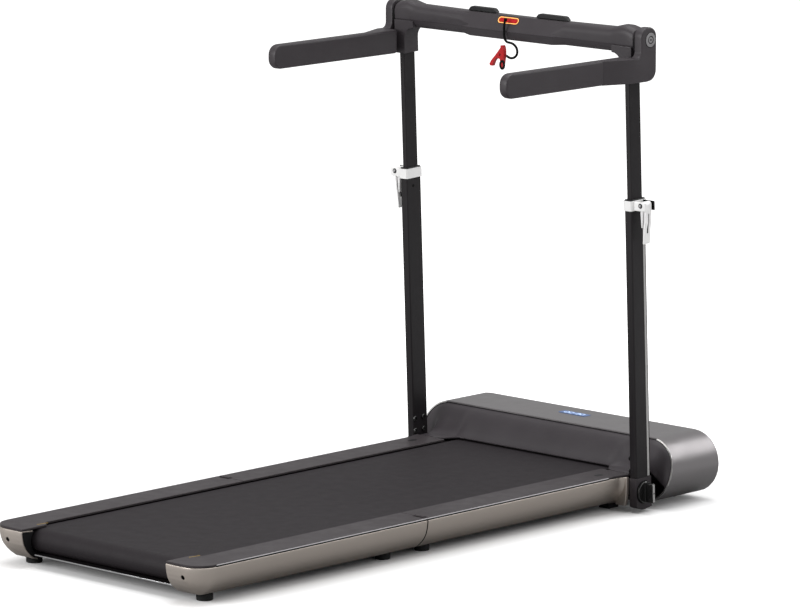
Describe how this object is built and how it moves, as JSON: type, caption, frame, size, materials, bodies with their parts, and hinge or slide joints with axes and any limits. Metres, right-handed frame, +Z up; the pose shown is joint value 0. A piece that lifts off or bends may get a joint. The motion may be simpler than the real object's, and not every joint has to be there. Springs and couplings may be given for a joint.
{
  "type": "folding motorised walking treadmill",
  "caption": "Flat motorised walking treadmill whose deck folds in half, with a fold-down telescopic handle frame, swinging armrests and a safety key on a cord.",
  "frame": {"origin": "on the floor, under the middle of the machine's overall box", "axes": "+Z up, +Y the way the user faces (towards the motor housing), +X the user's right hand"},
  "size_m": [0.718, 1.4536, 1.0151],
  "materials": {
    "champagne_shell": "satin, warm grey",
    "satin_housing": "satin",
    "charcoal_plastic": "fine grain",
    "grey_trim": "fine grain",
    "black_plastic": "matte",
    "black_paint": "satin powder coat",
    "belt_rubber": "fine diamond grain",
    "bright_steel": "turned",
    "silver_clamp": "silver paint",
    "foot_rubber": "matte",
    "deck_board": "phenolic film",
    "red_plastic": "semi-gloss",
    "display_lens": "smoked, lit from behind"
  },
  "bodies": {
    "base": {"rail_front_left": "champagne_shell", "rail_front_right": "champagne_shell", "trim_front_left": "grey_trim", "trim_front_right": "grey_trim", "fold_hinge_pin_left": "bright_steel", "fold_hinge_pin_right": "bright_steel", "deck_board_front": "deck_board", "belt_front": "belt_rubber", "subframe_front": "black_paint", "foot_middle_front_left": "foot_rubber", "foot_middle_front_right": "foot_rubber", "foot_front_left": "foot_rubber", "foot_front_right": "foot_rubber", "housing_shell": "satin_housing", "housing_base": "black_plastic", "housing_rear_cover": "charcoal_plastic", "display_lens": "display_lens", "power_inlet": "black_plastic", "motor": "black_paint", "drive_belt": "belt_rubber"},
    "rear_deck": {"rail_rear_left": "champagne_shell", "rail_rear_right": "champagne_shell", "trim_rear_left": "grey_trim", "trim_rear_right": "grey_trim", "deck_board_rear": "deck_board", "belt_rear": "belt_rubber", "subframe_rear": "black_paint", "roller_end_block_left": "black_plastic", "roller_end_block_right": "black_plastic", "foot_rear_left": "foot_rubber", "foot_rear_right": "foot_rubber", "foot_middle_rear_left": "foot_rubber", "foot_middle_rear_right": "foot_rubber"},
    "handle_frame": {"upright_base_left": "charcoal_plastic", "upright_base_right": "charcoal_plastic", "upright_tube_left": "black_paint", "upright_tube_right": "black_paint", "clamp_band_left": "silver_clamp", "clamp_band_right": "silver_clamp"},
    "upper_frame": {"inner_tube_left": "black_paint", "inner_tube_right": "black_paint", "crossbar_upper_shell": "charcoal_plastic", "crossbar_lower_shell": "charcoal_plastic", "device_rest_left": "black_plastic", "device_rest_right": "black_plastic"},
    "armrest_left": {"handle_left": "charcoal_plastic"},
    "armrest_right": {"handle_right": "charcoal_plastic"},
    "lever_left": {"clamp_lever_left": "silver_clamp"},
    "lever_right": {"clamp_lever_right": "silver_clamp"},
    "knob_left": {"wing_knob_left": "black_plastic"},
    "knob_right": {"wing_knob_right": "black_plastic"},
    "key_set": {"safety_key": "red_plastic", "lanyard": "black_plastic", "lanyard_clip": "red_plastic"},
    "roller_rear": {"rear_roller": "bright_steel"},
    "roller_front": {"front_roller": "bright_steel"},
    "pulley": {"motor_pulley": "bright_steel"},
    "wheel_left": {"transport_wheel_left": "foot_rubber"},
    "wheel_right": {"transport_wheel_right": "foot_rubber"},
    "rocker": {"power_switch": "black_plastic"}
  },
  "joints": [
    {"name": "deck_fold", "type": "hinge", "parent": "base", "child": "rear_deck", "pos_m": [0, -0.095, 0.0812], "axis": [-1, 0, 0], "range_deg": [0, 179]},
    {"name": "frame_fold", "type": "hinge", "parent": "base", "child": "handle_frame", "pos_m": [0, 0.5221, 0.044], "axis": [-1, 0, 0], "range_deg": [-79, 0]},
    {"name": "height_slide", "type": "slide", "parent": "handle_frame", "child": "upper_frame", "axis": [0, -0.0401, 0.9992], "range_m": [-0.22, 0]},
    {"name": "armrest_left_swing", "type": "hinge", "parent": "upper_frame", "child": "armrest_left", "pos_m": [-0.3488, 0.4954, 0.986], "axis": [1, 0, 0], "range_deg": [-90, 0]},
    {"name": "armrest_right_swing", "type": "hinge", "parent": "upper_frame", "child": "armrest_right", "pos_m": [0.3488, 0.4954, 0.986], "axis": [1, 0, 0], "range_deg": [-90, 0]},
    {"name": "clamp_lever_left_swing", "type": "hinge", "parent": "handle_frame", "child": "lever_left", "pos_m": [-0.3455, 0.4979, 0.6465], "axis": [0, 0.9992, 0.0401], "range_deg": [0, 95]},
    {"name": "clamp_lever_right_swing", "type": "hinge", "parent": "handle_frame", "child": "lever_right", "pos_m": [0.3455, 0.4979, 0.6465], "axis": [0, -0.9992, -0.0401], "range_deg": [0, 95]},
    {"name": "wing_knob_left_turn", "type": "hinge", "parent": "handle_frame", "child": "knob_left", "pos_m": [-0.3281, 0.5221, 0.044], "axis": [1, 0, 0], "continuous": true},
    {"name": "wing_knob_right_turn", "type": "hinge", "parent": "handle_frame", "child": "knob_right", "pos_m": [0.3281, 0.5221, 0.044], "axis": [1, 0, 0], "continuous": true},
    {"name": "safety_key_pull", "type": "slide", "parent": "upper_frame", "child": "key_set", "axis": [0, -0.8694, 0.4942], "range_m": [0, 0.03]},
    {"name": "front_roller_spin", "type": "hinge", "parent": "base", "child": "roller_front", "pos_m": [0, 0.585, 0.0523], "axis": [1, 0, 0], "continuous": true},
    {"name": "rear_roller_spin", "type": "hinge", "parent": "rear_deck", "child": "roller_rear", "pos_m": [0, -0.672, 0.0523], "axis": [1, 0, 0], "continuous": true},
    {"name": "motor_pulley_spin", "type": "hinge", "parent": "base", "child": "pulley", "pos_m": [-0.254, 0.668, 0.078], "axis": [1, 0, 0], "continuous": true},
    {"name": "transport_wheel_left_spin", "type": "hinge", "parent": "base", "child": "wheel_left", "pos_m": [-0.262, 0.681, 0.03], "axis": [1, 0, 0], "continuous": true},
    {"name": "transport_wheel_right_spin", "type": "hinge", "parent": "base", "child": "wheel_right", "pos_m": [0.262, 0.681, 0.03], "axis": [1, 0, 0], "continuous": true},
    {"name": "power_switch_rock", "type": "hinge", "parent": "base", "child": "rocker", "pos_m": [0.17, 0.714, 0.07], "axis": [1, 0, 0], "range_deg": [-10, 0]}
  ],
  "couplings": [
    {"joint": "rear_roller_spin", "follows": "front_roller_spin", "ratio": 1},
    {"joint": "motor_pulley_spin", "follows": "front_roller_spin", "ratio": 2.636}
  ]
}
